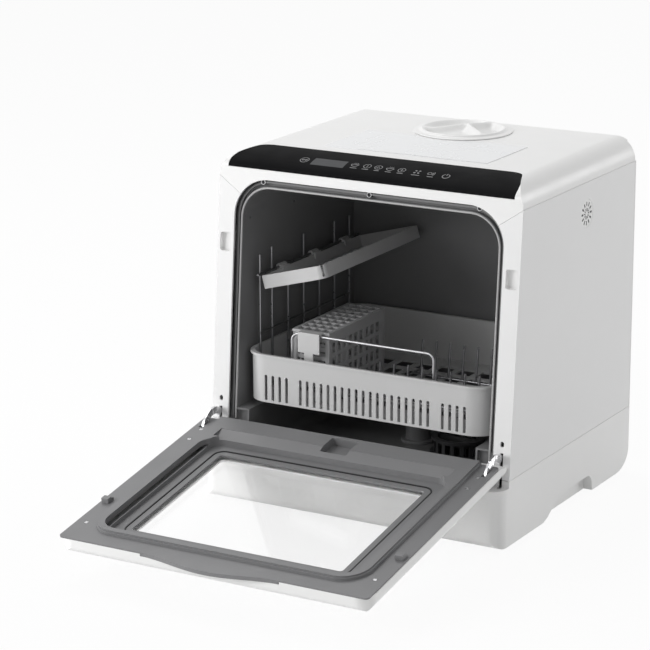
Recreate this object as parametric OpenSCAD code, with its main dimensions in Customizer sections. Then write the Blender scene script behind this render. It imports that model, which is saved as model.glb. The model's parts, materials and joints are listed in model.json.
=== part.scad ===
// Countertop dishwasher: a cabinet with a drop-down glazed door, a pull-out
// basket, a folding cup shelf, a cutlery basket, and the tank, pump, heater,
// filter, spray arm and fan that make it work. Millimetres, +Z up. The door is
// drawn open, and the origin lies on the counter under the middle of the part.

/* [Cabinet] */
// Width over the side panels
cabinet_w = 420; // [414:2:430]
// Depth from the front of the base to the rear panel
cabinet_d = 380; // [380:1:390]
// Height of the top above the counter
cabinet_h = 446.5; // [446:0.5:450]
// Height of the seam between the base and the side panels
base_seam_h = 88.5; // [87:0.5:90]
// Height of the seam between the side panels and the top cover
top_seam_h = 416; // [414:1:417]
// Lean of the front frame, in degrees back from upright
front_tilt = 4.6; // [4.4:0.1:4.8]
// Wall of the outer casing
casing_t = 3; // [2.5:0.5:3.5]

/* [Opening and tub] */
// Width of the opening in the front frame
opening_w = 374; // [370:1:376]
// Corner radius of the opening
opening_r = 48; // [44:1:50]
// Inner width of the tub
tub_w = 356; // [355:1:358]
// Wall of the tub
tub_t = 2.5; // [2:0.5:3]
// Height of the tub floor
tub_floor_h = 62; // [60:1:64]
// Height of the ledges that the basket glides on
ledge_h = 121; // [120:0.5:121.5]

/* [Door] */
// Width of the door shell
door_w = 416; // [414:1:417]
// Length of the door from its lower to its upper edge
door_l = 328; // [324:1:329]
// Swing of the door from closed to open, in degrees
door_swing = 104.7; // [100:0.1:105]
// Thickness of the door under its rim
door_t = 21; // [20:0.5:21.5]
// Width of the window well's floor opening in the door
window_w = 304; // [290:2:306]

/* [Baskets] */
// Outer width of the pull-out basket at its wall
basket_w = 346; // [340:1:347]
// Length of the basket, front to back
basket_l = 280; // [270:2:282]
// Height of the basket wall
basket_wall_h = 62.5; // [60:0.5:68]
// Width of the cup shelf
shelf_w = 91; // [84:1:94]
// Length of the cup shelf
shelf_l = 250; // [230:5:252]
// Slope of the cup shelf at rest, in degrees
shelf_slope = 15.5; // [13:0.5:17]
// Pitch of the slots in the basket front
slot_pitch = 10; // [9:0.5:10]
// Number of plate tines in one row
tine_count = 9; // [6:1:9]

/* [Tank and cap] */
// Diameter of the tank cap
cap_d = 128; // [122:1:129]
// Distance of the cap's centre behind the front of the base
cap_y = 306; // [304:1:308]
// Number of finger scoops in the cap
scoop_count = 3; // [3:1:5]

/* [Hidden] */
$fn = 96;

// Colours of the real surfaces
white = [0.95, 0.95, 0.94];
liner_grey = [0.53, 0.53, 0.54];
tub_grey = [0.30, 0.30, 0.31];
basket_grey = [0.75, 0.75, 0.75];
black = [0.08, 0.08, 0.09];
steel = [0.78, 0.78, 0.80];
glass = [0.75, 0.80, 0.82, 0.5];
rubber = [0.20, 0.20, 0.21];
board_green = [0.10, 0.35, 0.20];

seam = 0.4;                 // gap that shows as a seam between two casing parts
fit = 0.3;                  // gap between parts that move past each other
running = 0.05;             // radial clearance of a running fit
past = 1;                   // how far a cutter reaches past the face it cuts

half_w = cabinet_w / 2;
edge_r = cabinet_h - top_seam_h;            // round between top and sides
rear_edge_r = 6;                            // round between top and rear
foot_h = 6;                                 // base bottom above the counter
shoulder_h = 80;                            // ledge of the base below the door
corner_r = 20;                              // upright front corners of the base

// The slanted front frame: y = 0 is the front of the base
front_foot_y = 17;                          // where its plane would meet the counter
nose_h = 428;                               // lower edge of the control panel
nose_end_y = 113;                           // where the control panel meets the top
function front_y(z) = front_foot_y + z * tan(front_tilt);
opening_top = 416.6;                        // heights on the slanted plane
opening_foot = 97.2;
rim_depth = 6.5;                            // tub rim behind the front frame
flange_depth = 12.5;                           // tub flange behind the front frame

tub_top_h = 403.5;
tub_rear_y = 335;
tub_r = 39;
sump_w = tub_w - 36;                        // tub width between the ledges
hub_y = 187;
filter_x = 70;
filter_y = 165;
filter_r = 32;

// Door hinge and the door's own frame: y is the depth from the hinge axis
// towards the tub, z the length from the hinge axis to the handle
hinge_y = 8.8;
hinge_z = 97.2;
rim_d = 15;                                 // door rim in front of the hinge axis
plug_h = 5.5;                               // raised plug of the liner
door_foot = 2;                              // lower end of the door's rim
door_end = door_foot + door_l;
outer_d = rim_d - door_t;                   // outer face of the door
pin_r = 3;
post_x = 188;                               // middle of each hinge post
post_t = 8;
arm_x = 198;                                // middle of each curved hinge arm
arm_t = 3;
latch_l = 237;                              // latch, up the door from the hinge axis
latch_x = 199;
window_l0 = 62;                             // window opening along the door
window_l1 = 284;

basket_y = 41.5;
basket_z = 131;
basket_r = 32;
post_line_x = -168.3;                       // upright wires at the side of the basket
pivot_x = -165.4;                           // wire that the cup shelf hangs on
pivot_z = 287.5;
shelf_y = 70;
shelf_rim_h = 17;
cutlery_x = -114;
cutlery_y = 66;
cutlery_w = 52;
cutlery_l = 143;
cutlery_z = basket_z + 2.5 + fit;
cutlery_h = 88;
wire_r = 1.5;

tank_front_y = 341;
tank_rear_y = 376;
tank_w = 320;
tank_top_h = 434;
tank_lobe_h = 409;
tank_lobe_y = 262;
tank_t = 2.5;
neck_r = 44;

// Middle of the part's depth, from the handle of the open door to the rear fittings
handle_reach = 12;
door_reach = hinge_y - (door_end + handle_reach) * sin(door_swing - front_tilt)
    + rim_d * cos(door_swing - front_tilt);
rear_fitting_l = 10;
middle_y = (cabinet_d + rear_fitting_l + door_reach) / 2;

// ---------------------------------------------------------------- placing

// Parts are drawn with y = 0 at the front of the base
module in_place() translate([0, -middle_y, 0]) children();

// On the slanted front frame: y is the depth behind it, z runs up along it
module on_front() in_place() leaned() children();
module leaned() translate([0, front_foot_y, 0]) rotate([-front_tilt, 0, 0]) children();

// On the open door
module on_door() in_place()
    translate([0, hinge_y, hinge_z]) rotate([door_swing - front_tilt, 0, 0]) children();

// Both sides of the machine
module both_sides() {
    children();
    mirror([1, 0, 0]) children();
}

// An outline in x and z, as thick as from y0 to y1
module upright(y0, y1) translate([0, y1, 0]) rotate([90, 0, 0]) linear_extrude(y1 - y0) children();

// An outline in y and z, as wide as from x0 to x1
module sideways(x0, x1) translate([x0, 0, 0]) rotate([90, 0, 90]) linear_extrude(x1 - x0) children();

// An outline in x and y, as high as from z0 to z1
module flat(z0, z1) translate([0, 0, z0]) linear_extrude(z1 - z0) children();

module block(low, high) translate(low) cube(high - low);

// ---------------------------------------------------------------- outlines

module rounded(low, high, r) {
    translate([low.x + r, low.y]) square([high.x - low.x - 2 * r, high.y - low.y]);
    translate([low.x, low.y + r]) square([high.x - low.x, high.y - low.y - 2 * r]);
    for (x = [low.x + r, high.x - r], y = [low.y + r, high.y - r]) translate([x, y]) circle(r);
}

// Straight foot, rounded head
module arch(half, foot, top, r) {
    translate([-half, foot]) square([2 * half, top - r - foot]);
    translate([r - half, foot]) square([2 * (half - r), top - foot]);
    for (x = [r - half, half - r]) translate([x, top - r]) circle(r);
}

function arc(centre, a, b, from, to, steps = 12) =
    [for (i = [0:steps]) let (t = from + (to - from) * i / steps) centre + [a * cos(t), b * sin(t)]];

// Side view of the upper casing, with its walls drawn in by inset
function upper_profile(inset) = concat(
    [[front_y(top_seam_h - 60) + inset, top_seam_h - 60]],
    arc([nose_end_y, nose_h], nose_end_y - front_y(nose_h) - inset, cabinet_h - nose_h - inset, 180, 90),
    arc([cabinet_d - rear_edge_r, cabinet_h - rear_edge_r], rear_edge_r - inset, rear_edge_r - inset,
        90, 0, 6),
    [[cabinet_d - inset, top_seam_h - 60]]
);

module casing(inset) intersection() {
    sideways(-half_w, half_w) polygon(upper_profile(inset));
    upright(0, cabinet_d) arch(half_w - inset, 0, cabinet_h - inset, edge_r - inset);
}

// The front frame: everything round the opening, on the slanted plane
module frame_outline() difference() {
    translate([-half_w, 0]) square([cabinet_w, nose_h / cos(front_tilt)]);
    opening_outline(0);
}

module opening_outline(grow) arch(opening_w / 2 + grow, -past, opening_top + grow, opening_r + grow);

// Part of the front frame above its mitred corners
mitre_drop = 26;
mitre_in = 38;
mitre_v = top_seam_h / cos(front_tilt);     // where the seam meets the slanted plane
module above_mitre() polygon([
    [-half_w - past, cabinet_h + 10], [half_w + past, cabinet_h + 10],
    [half_w + past, mitre_v], [half_w, mitre_v],
    [half_w - mitre_in, mitre_v - mitre_drop], [mitre_in - half_w, mitre_v - mitre_drop],
    [-half_w, mitre_v], [-half_w - past, mitre_v]
]);

// ---------------------------------------------------------------- casing

grip_y0 = 118;
grip_y1 = 268;
grip_h = 29;
grip_depth = 12;
slot_x0 = arm_x - 2.1;      // slots that the hinge arms pass through
slot_x1 = arm_x + 2.2;
heel_y = cabinet_d - 36;    // where the base starts to round up to its rear wall
heel_h = 27;

// The outside of the base: a tray with rounded front corners and foot
module base_body(inset) {
    bottom = foot_h + inset;
    foot_r = 14 - inset;
    intersection() {
        flat(bottom, shoulder_h + 20) union() {
            translate([0, corner_r]) translate([inset - half_w, 0])
                square([cabinet_w - 2 * inset, cabinet_d - corner_r - inset]);
            translate([corner_r - half_w, inset]) square([cabinet_w - 2 * corner_r, corner_r]);
            for (s = [-1, 1]) translate([s * (half_w - corner_r), corner_r]) circle(corner_r - inset);
        }
        sideways(-half_w, half_w) polygon(concat(
            [[0, shoulder_h + 20], [cabinet_d, shoulder_h + 20]],
            arc([heel_y, foot_h + heel_h], cabinet_d - heel_y - inset, heel_h - inset, 0, -90, 8),
            arc([inset + foot_r, bottom + foot_r], foot_r, foot_r, 270, 180, 6)
        ));
    }
}

module base_pan() in_place() color(white) difference() {
    union() {
        difference() {
            base_body(0);
            difference() {
                base_body(casing_t);
                block([-half_w, 0, shoulder_h - casing_t], [half_w, front_y(shoulder_h) + casing_t, shoulder_h]);
                both_sides() block([half_w - casing_t - grip_depth, grip_y0 - casing_t, 0],
                    [half_w, grip_y1 + casing_t, grip_h + casing_t]);
            }
            block([-half_w - past, -past, base_seam_h], [half_w + past, cabinet_d + past, cabinet_h]);
            sideways(-half_w - past, half_w + past) polygon([[-past, shoulder_h], [front_y(shoulder_h), shoulder_h],
                [front_y(cabinet_h), cabinet_h], [-past, cabinet_h]]);
        }
        leaned()
            block([-opening_w / 2 + seam, 0, shoulder_h - 1], [opening_w / 2 - seam, casing_t, opening_foot]);
        // closes the base under the posts
        leaned() both_sides()
            block([opening_w / 2 - 6, 0.3, shoulder_h - 0.6], [half_w - 1, casing_t - 0.3, base_seam_h]);
    }
    both_sides() {
        grip_hollow();
        block([slot_x0, front_y(0), shoulder_h - 12], [slot_x1, 42, base_seam_h + past]);
    }
    translate([0, cabinet_d, 0]) rotate([90, 0, 0]) {
        translate([inlet_x, fitting_z, -past]) cylinder(h = 10, r = inlet_r + fit);
        translate([drain_x, fitting_z, -past]) cylinder(h = 10, r = drain_r + fit);
        translate([gland_x, fitting_z, -past]) cylinder(h = 10, r = gland_r + fit);
    }
    translate([0, 0, foot_h - past]) for (x = [-120:40:120], y = [90:60:330])
        translate([x - 12, y - 2, 0]) cube([24, 4, casing_t + 2 * past]);
}

// Water and mains fittings in the rear wall of the base
inlet_x = 120;
inlet_r = 13.2;
drain_x = 60;
drain_r = 9;
gland_x = -150;
gland_r = 8.6;
fitting_z = 56;

// Hand grip under each side: an arch that runs in from the lower edge
module grip_hollow() sideways(half_w - grip_depth, half_w + past) polygon(concat(
    [[grip_y1, 0]], arc([grip_y1 - 17, grip_h - 14], 14, 14, 0, 90, 6),
    arc([grip_y0 + 60, grip_h - 20], 30, 20, 90, 140, 5), [[grip_y0 + 16, 9.5], [grip_y0 + 7, 7], [grip_y0, 0]]
));

module feet() in_place() color(rubber)
    for (x = [-178, 178], y = [38, heel_y - 22]) translate([x, y, 0]) {
        cylinder(h = foot_h, r = 11);
        translate([0, 0, foot_h - 2]) cylinder(h = 2, r = 13);
    }

vent_y = 231;
vent_z = 376;
vent_r = 17;
panel_foot = base_seam_h + seam;
panel_top = top_seam_h - seam;

// Upright side sheet that turns the corner into one post of the front frame
module side_panel() {
    difference() {
        union() {
            sideways(half_w - casing_t, half_w) polygon([
                [front_y(panel_foot) + 1.5, panel_foot], [front_y(panel_top) + 1.5, panel_top],
                [cabinet_d - casing_t - seam, panel_top], [cabinet_d - casing_t - seam, panel_foot]
            ]);
            front_post();
            sideways(half_w - 14, half_w - casing_t) for (z = [panel_foot, panel_top - 2])
                translate([60, z]) square([cabinet_d - 90, 2]);
        }
        leaned() {
            block([slot_x0, -past, base_seam_h - 5], [slot_x1, casing_t + past, 122]);
            upright(-past, casing_t + past) latch_slot_outline(0);
            upright(-past, casing_t + past) rounded([arm_x - 2.5, 129.2], [arm_x + 2.5, 136.2], 2.49);
            upright(-past, casing_t + 0.3) translate([0, -seam]) above_mitre();
        }
    }
}

module latch_slot_outline(grow) {
    v = hinge_v + latch_l;
    rounded([latch_x - 7.4 - grow, v - 11.9 - grow], [latch_x + 7.4 + grow, v + 11.9 + grow], 3 + grow);
}

// Height of the hinge axis along the slanted front
hinge_v = hinge_z * cos(front_tilt) - (front_foot_y - hinge_y) * sin(front_tilt);

module front_post() intersection() {
    leaned() upright(0, casing_t) difference() {
        frame_outline();
        translate([0, -seam]) above_mitre();
    }
    block([0, 0, panel_foot], [half_w, 200, cabinet_h]);
}

module right_side_panel() in_place() color(white) difference() {
    side_panel();
    translate([half_w, vent_y, vent_z]) rotate([0, 90, 0])
        cylinder(h = 4 * casing_t, r = vent_r + 1, center = true);
}

module left_side_panel() in_place() color(white) mirror([1, 0, 0]) side_panel();

module top_cover() in_place() color(white) difference() {
    union() {
        difference() {
            casing(0);
            casing(casing_t);
            block([-half_w - past, -past, 0], [half_w + past, cabinet_d + past, top_seam_h]);
            block([-half_w, cabinet_d - casing_t - seam, 0], [half_w, cabinet_d + past, cabinet_h - rear_edge_r]);
        }
        intersection() {
            leaned() upright(0, casing_t) intersection() {
                frame_outline();
                above_mitre();
            }
            block([0.1 - half_w, 0, 0], [half_w - 0.1, 200, top_seam_h + 1.5]);
        }
    }
    panel_cut(0);
    translate([0, cap_y, cabinet_h - 2 * casing_t]) cylinder(h = 4 * casing_t, r = neck_r + 6);
}

// The curved band of the nose that the black panel fills
panel_side = concat([[198, -past], [198, 60], [195.5, 72], [190, 85]], arc([165, 97], 19.5, 15, 14, 90, 8));
module panel_plan(grow) polygon(concat(
    [for (p = panel_side) [p.x + grow, p.y + (p.y > 90 ? grow : 0)]],
    [for (i = [len(panel_side) - 1:-1:0]) [-panel_side[i].x - grow, panel_side[i].y + (panel_side[i].y > 90 ? grow : 0)]]
));

module panel_cut(grow) intersection() {
    flat(nose_h - 0.5 - grow, cabinet_h + past) panel_plan(grow);
    difference() {
        block([-half_w, 0, nose_h - 3], [half_w, nose_end_y + 3, cabinet_h + past]);
        casing(grow < 0 ? 1.8 : 2);
    }
}

module control_panel() in_place() color(black) difference() {
    intersection() {
        casing(0);
        panel_cut(-seam);
    }
    display_cut(0);
}

display_y0 = 62.8;
display_y1 = 80;
module display_cut(grow) block([-87.5 + grow, display_y0 + grow, nose_h], [-41 - grow, display_y1 - grow, cabinet_h]);

module display_window() in_place() color([0.35, 0.36, 0.37]) intersection() {
    difference() {
        casing(0.2);
        casing(2);
    }
    display_cut(0.1);
}

module control_board() in_place() color(board_green) {
    block([-150, 70, 409.5], [150, 116, 411]);
    for (x = [-130, 130], y = [74, 108]) translate([x, y, tub_top_h + tub_t]) cylinder(h = 4, r = 3);
    for (x = [-60, 0, 60, 110]) block([x, 74, 411], [x + 22, 92, 420]);
    translate([-110, 96, 411]) cylinder(h = 14, r = 6);
}

module top_inlay() in_place() color([0.93, 0.94, 0.95])
    flat(cabinet_h, cabinet_h + 0.3) difference() {
        rounded([-109, 137], [119, 252], 3);
        translate([0, cap_y]) circle(cap_d / 2 + 3);
    }

module rear_panel() in_place() color(white) difference() {
    upright(cabinet_d - casing_t, cabinet_d) union() {
        translate([-half_w, panel_foot]) square([cabinet_w, panel_top - panel_foot]);
        arch(half_w - casing_t - seam, panel_foot, cabinet_h - rear_edge_r - seam, edge_r - casing_t - seam);
    }
    for (x = [-150:12:-66], z = [300, 335]) block([x, 0, z], [x + 5, cabinet_d + past, z + 26]);
    for (x = [66:12:150], z = [150, 185]) block([x, 0, z], [x + 5, cabinet_d + past, z + 26]);
}

module case_screws() in_place() color(steel)
    for (x = [-190, 0, 190], z = [130, 380]) translate([x, cabinet_d, z]) rotate([-90, 0, 0]) screw_head(4);

module screw_head(r) difference() {
    cylinder(h = 2, r = r);
    translate([-r, -0.5, 1.2]) cube([2 * r, 1, 1]);
    translate([-0.5, -r, 1.2]) cube([1, 2 * r, 1]);
}

// Round insert with two rings of radial slots
module side_vent_grille() in_place() color(white)
    translate([half_w - casing_t, vent_y, vent_z]) rotate([0, 90, 0]) difference() {
        union() {
            cylinder(h = casing_t - 0.2, r = vent_r + 0.8);
            translate([0, 0, -1.5]) cylinder(h = 1.5, r = vent_r + 4);
        }
        for (a = [0:30:330]) rotate([0, 0, a]) {
            translate([9.5, -1.3, -5]) cube([5.5, 2.6, 12]);
            translate([3.5, -0.8, -5]) cube([4, 1.6, 12]);
        }
    }

// ---------------------------------------------------------------- tub

module tub_outline(grow) {
    arch(tub_w / 2 + grow, ledge_h - grow, tub_top_h + grow, tub_r + grow);
    rounded([-sump_w / 2 - grow, tub_floor_h - grow], [sump_w / 2 + grow, ledge_h + 30], 12 + grow);
}

module tub() in_place() color(tub_grey) difference() {
    union() {
        difference() {
            upright(10, tub_rear_y + tub_t) tub_outline(tub_t);
            upright(0, tub_rear_y) tub_outline(0);
            leaned() block([-half_w, -60, 0], [half_w, rim_depth, cabinet_h + 40]);
        }
        // front flange, and the front wall of the sump below the opening
        intersection() {
            leaned() block([-half_w, flange_depth, 0], [half_w, flange_depth + tub_t, cabinet_h + 40]);
            upright(5, 90) difference() {
                union() {
                    arch(opening_w / 2 + 4, opening_foot - 8, opening_top + 0.5, opening_r + 4);
                    translate([-sump_w / 2 - 1, tub_floor_h - 1]) square([sump_w + 2, 40]);
                }
                intersection() {
                    tub_outline(1);
                    translate([-half_w, opening_foot]) square([cabinet_w, cabinet_h]);
                }
            }
        }
    }
    translate([filter_x, filter_y, 0]) cylinder(h = tub_floor_h + past, r = filter_r + 1);
    translate([0, hub_y, 0]) cylinder(h = tub_floor_h + past, r = 8);
    for (p = [[70, 360], [178, 360]]) translate([-tub_w / 2 - 5, p.x, p.y]) rotate([0, 90, 0])
        cylinder(h = 10, r = 1.6);
}

// Rubber ring in the channel between the tub rim and the front frame
module door_seal() on_front() color(rubber) difference() {
    union() {
        upright(flange_depth - 2, flange_depth - 0.1) difference() {
            seal_outline(-0.6);
            seal_outline(-6, past);
        }
        upright(rim_depth, flange_depth - 2) difference() {
            seal_outline(-2);
            seal_outline(-4.5, past);
        }
    }
    for (x = screw_xs) translate([x, 0, screw_v]) rotate([-90, 0, 0]) cylinder(h = 20, r = screw_r + 0.3);
}

screw_xs = [-150, 0, 150];
screw_v = opening_top - 3.9;
screw_r = 3.4;

module seal_outline(grow, foot = 0) arch(opening_w / 2 + grow, opening_foot + 1 - foot, opening_top + grow,
    opening_r + grow);

module flange_screws() on_front() color(steel)
    for (x = screw_xs) translate([x, flange_depth - 6, screw_v]) rotate([-90, 0, 0]) difference() {
        cylinder(h = 6, r = screw_r);
        translate([0, 0, -past]) cylinder(h = 2.2, r = 1.6);
    }

// ---------------------------------------------------------------- water and air

module tank_outline(grow) union() {
    translate([tank_front_y - grow, 96 - grow]) square([tank_rear_y - tank_front_y + 2 * grow,
        tank_top_h - 96 + 2 * grow]);
    translate([tank_lobe_y - grow, tank_lobe_h - grow]) square([tank_rear_y - tank_lobe_y + 2 * grow,
        tank_top_h - tank_lobe_h + 2 * grow]);
}

module water_tank() in_place() color([0.85, 0.88, 0.90]) difference() {
    union() {
        sideways(-tank_w / 2, tank_w / 2) tank_outline(0);
        for (x = [-tank_w / 2, tank_w / 2 - 8]) sideways(x, x + 8) polygon([[tank_front_y, foot_h + casing_t],
            [heel_y, foot_h + casing_t], [heel_y + 8, foot_h + casing_t + 1], [heel_y + 8, 100], [tank_front_y, 100]]);
    }
    sideways(-tank_w / 2 + tank_t, tank_w / 2 - tank_t) tank_outline(-tank_t);
    translate([0, cap_y, tank_top_h - 5]) cylinder(h = 10, r = neck_r - 2);
}

// Collar that joins the tank to the top cover and takes the cap
module tank_collar() in_place() color(white) translate([0, cap_y, 0]) difference() {
    union() {
        translate([0, 0, tank_top_h]) cylinder(h = cabinet_h - casing_t - tank_top_h, r = neck_r + 3);
        translate([0, 0, cabinet_h - casing_t - 2]) cylinder(h = 2, r = neck_r + 10);
    }
    translate([0, 0, tank_top_h - past]) cylinder(h = 40, r = neck_r);
}

// Cap: a flat rim, a raised dish, and a plug that carries the seal in the collar
cap_plug_h = 8;
cap_dish_r = 53;
cap_dish_h = 10;
cap_rim_h = 5;
cap_hub_h = 6.5;
module cap_seal() in_place() color(rubber) translate([0, cap_y, cabinet_h - cap_plug_h + 1]) difference() {
    cylinder(h = 3, r = neck_r - 0.5);
    translate([0, 0, -past]) cylinder(h = 5, r = neck_r - 4 + running);
}

// Low dished cap with curved blades between the finger scoops
module tank_cap() in_place() color(white) translate([0, cap_y, cabinet_h]) {
    rotate_extrude() polygon(concat(
        [[0, -cap_plug_h], [neck_r - 4, -cap_plug_h], [neck_r - 4, -2], [neck_r + 5.4, -2]],
        [[neck_r + 5.4, fit], [cap_d / 2, fit], [cap_d / 2, 1.4], [cap_d / 2 - 1.2, 1.9], [cap_dish_r + 2.4, cap_rim_h - 0.4]],
        [for (i = [10:-1:0]) let (r = cap_dish_r * i / 10)
            [r, cap_rim_h - cap_dish_h * (1 - pow(i / 10, 4))]]
    ));
    for (i = [0:scoop_count - 1]) rotate([0, 0, i * 360 / scoop_count + 14]) cap_ridge();
    translate([0, 0, cap_rim_h - cap_dish_h - 1]) cylinder(h = cap_hub_h - cap_rim_h + cap_dish_h + 1, r = 5);
}

// One curved blade from the middle of the cap to its rim
module cap_ridge() intersection() {
    difference() {
        translate([0, -cap_dish_r / 2, -cap_dish_h]) cylinder(h = cap_dish_h + cap_rim_h - 0.3, r = cap_dish_r / 2 + 1.6);
        translate([0, -cap_dish_r / 2, -2 * cap_dish_h]) cylinder(h = 50, r = cap_dish_r / 2 - 1.6);
        block([-cap_dish_r, -cap_dish_r * 1.5, -2 * cap_dish_h], [0, 2, 30]);
    }
    union() {
        translate([0, 0, -cap_plug_h + 0.4]) cylinder(h = 20, r = neck_r - 4.2);
        translate([0, 0, -1.8]) cylinder(h = 20, r = neck_r + 5);
        translate([0, 0, 0.6]) cylinder(h = 20, r = cap_dish_r - 0.5);
    }
}

module sump() in_place() color(tub_grey) translate([filter_x, filter_y, 0]) difference() {
    union() {
        translate([0, 0, 22]) cylinder(h = tub_floor_h - tub_t - 22, r = filter_r + 6);
        translate([0, 0, tub_floor_h - tub_t - 3]) cylinder(h = 3, r = filter_r + 14);
    }
    translate([0, 0, 25]) cylinder(h = 60, r = filter_r + 3);
}

// Round filter basket with upright ribs
module filter_cage() in_place() color([0.22, 0.22, 0.23]) translate([filter_x, filter_y, 0]) difference() {
    union() {
        difference() {
            translate([0, 0, 30]) cylinder(h = 56, r = filter_r - fit);
            translate([0, 0, 33]) cylinder(h = 60, r = filter_r - 3);
            for (a = [0:22.5:157.5]) rotate([0, 0, a]) for (z = [35, 66])
                translate([-filter_r - 5, -3.6, z]) cube([2 * filter_r + 10, 7.2, z < 60 ? 25 : 15]);
        }
        translate([0, 0, 83]) difference() {
            cylinder(h = 3, r = filter_r + 3);
            translate([0, 0, -past]) cylinder(h = 5, r = filter_r - 5);
        }
        translate([-filter_r, -2, 70]) cube([2 * filter_r, 4, 14]);
        translate([0, 0, tub_floor_h + fit]) difference() {
            cylinder(h = 3, r = filter_r + 5);
            translate([0, 0, -past]) cylinder(h = 5, r = filter_r - 2);
        }
    }
    translate([0, 0, 20]) cylinder(h = 15, r = 6);
}

pump_x = -40;
pump_y = 190;
module wash_pump() in_place() color([0.25, 0.27, 0.30]) translate([pump_x, pump_y, 34]) rotate([0, -90, 0]) {
    cylinder(h = 14, r = 23);
    translate([0, 0, 14]) cylinder(h = 46, r = 19);
    translate([0, 0, 60]) cylinder(h = 4, r = 12);
    for (a = [0:45:315]) rotate([0, 0, a]) translate([18, -1.5, 18]) cube([3, 3, 38]);
    translate([foot_h + casing_t - 34, -10, 24]) cube([20, 20, 24]);
}

module drain_pump() in_place() color([0.30, 0.32, 0.34]) translate([140, 180, 32]) rotate([-90, 0, 0]) {
    cylinder(h = 16, r = 20);
    translate([0, 0, 16]) cylinder(h = 34, r = 15);
    translate([-8, 0, 24]) cube([16, 32 - foot_h - casing_t, 14]);
}

module heater() in_place() color(steel) translate([0, 262, 34]) rotate([0, -90, 0]) {
    cylinder(h = 90, r = 14);
    for (z = [8, 78]) translate([0, 0, z]) {
        cylinder(h = 4, r = 17);
        translate([foot_h + casing_t - 34, -6, 0]) cube([14, 12, 4]);
    }
}

module wash_pipe() in_place() color([0.35, 0.35, 0.36]) difference() {
    union() {
        translate([0, hub_y, 20]) cylinder(h = tub_floor_h - tub_t - 20, r = 10);
        translate([pump_x, hub_y, 34]) rotate([0, 90, 0]) cylinder(h = 60 - pump_x, r = 8);
    }
    translate([filter_x, filter_y, 0]) cylinder(h = 60, r = filter_r + 6);
}

module spray_hub() in_place() color([0.42, 0.42, 0.43]) translate([0, hub_y, 0]) {
    translate([0, 0, tub_floor_h]) cylinder(h = 4, r = 22);
    translate([0, 0, tub_floor_h]) cylinder(h = 34, r = 16);
    translate([0, 0, tub_floor_h]) cylinder(h = 50, r = 5);
}

// Two-bladed arm with a row of jets on each blade
spray_l = 140;
module spray_arm() in_place() color([0.55, 0.55, 0.56]) translate([0, hub_y, 96 + fit]) difference() {
    union() {
        cylinder(h = 8, r = 17);
        for (a = [8, 188]) rotate([0, 0, a]) flat(0, 6) rounded([0, -13], [spray_l, 9], 9);
        for (a = [8, 188]) rotate([0, 0, a]) flat(6, 7.5) rounded([10, -7], [spray_l - 8, 3], 4);
    }
    translate([0, 0, -past]) cylinder(h = 12, r = 5 + running);
    for (a = [8, 188], r = [30:20:130]) rotate([0, 0, a]) translate([r, -2, 3]) cylinder(h = 6, r = 1.5);
}

// Blower behind the side vent, between the tub and the right side panel
fan_x = 184;
module fan_housing() in_place() color([0.18, 0.18, 0.19]) translate([fan_x, vent_y, vent_z]) rotate([0, 90, 0])
    difference() {
        cylinder(h = half_w - casing_t - 1.5 - fan_x, r = 24);
        translate([0, 0, 3]) cylinder(h = 30, r = 21);
        translate([0, 0, -past]) cylinder(h = 6, r = 2.5);
    }

module fan_rotor() in_place() color([0.25, 0.25, 0.26]) translate([fan_x + 4, vent_y, vent_z]) rotate([0, 90, 0]) {
    translate([0, 0, -3.5]) cylinder(h = 4, r = 2.5 - running);
    cylinder(h = 11, r = 7);
    for (a = [0:45:315]) rotate([0, 0, a]) translate([6, -0.8, 1]) rotate([24, 0, 0]) cube([13, 1.6, 8]);
}

module inlet_valve() in_place() color([0.80, 0.80, 0.82]) rear_fitting(inlet_x, inlet_r, 5);
module drain_spigot() in_place() color([0.20, 0.20, 0.21]) rear_fitting(drain_x, drain_r, 6);

// Pipe end with a collar that bears on the inside of the base
module rear_fitting(x, r, bore) translate([x, cabinet_d, fitting_z]) rotate([-90, 0, 0]) difference() {
    union() {
        translate([0, 0, -24]) cylinder(h = 24 + rear_fitting_l, r = r);
        translate([0, 0, -casing_t - 4]) cylinder(h = 4, r = r + 6);
    }
    translate([0, 0, -16]) cylinder(h = 40, r = bore);
}

module cord_gland() in_place() color(black) translate([gland_x, cabinet_d, fitting_z]) rotate([-90, 0, 0])
    difference() {
        union() {
            translate([0, 0, -6]) cylinder(h = 6 + rear_fitting_l - 1, r = gland_r);
            cylinder(h = 3, r = gland_r + 3.4);
        }
        translate([0, 0, -10]) cylinder(h = 30, r = 4);
    }

// ---------------------------------------------------------------- door

// Side view of the door shell in its own frame, with its walls drawn in by inset
function door_profile(inset) = concat(
    [[rim_d - 2, door_foot + inset / 2], [rim_d - 2, door_end - inset]],
    arc([outer_d + 9, door_end - 9], 9 - inset, 9 - inset, 90, 180, 6),
    arc([6, 30], 6 - outer_d - inset, 44.5 - inset, 180, 270, 8),
    [[9, -12 + inset]]
);

module door_body(inset) intersection() {
    sideways(-door_w / 2 + inset, door_w / 2 - inset) polygon(door_profile(inset));
    translate([0, 0, -40]) linear_extrude(door_l + 60) door_section(inset);
    upright(outer_d - 5, rim_d + 5)
        rounded([inset - door_w / 2, -60], [door_w / 2 - inset, door_end - inset], 20 - inset);
}

// The door cut across: rounded edges along its outer face
module door_section(inset) {
    r = 12 - inset;
    half = door_w / 2 - inset;
    face = outer_d + inset;
    polygon(concat(
        [[half, rim_d + past], [-half, rim_d + past]],
        arc([r - half, face + r], r, r, 180, 270, 6), arc([half - r, face + r], r, r, 270, 360, 6)
    ));
}

module window_outline(grow) rounded([-window_w / 2 - grow, window_l0 - grow],
    [window_w / 2 + grow, window_l1 + grow], 14 + grow);

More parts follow.
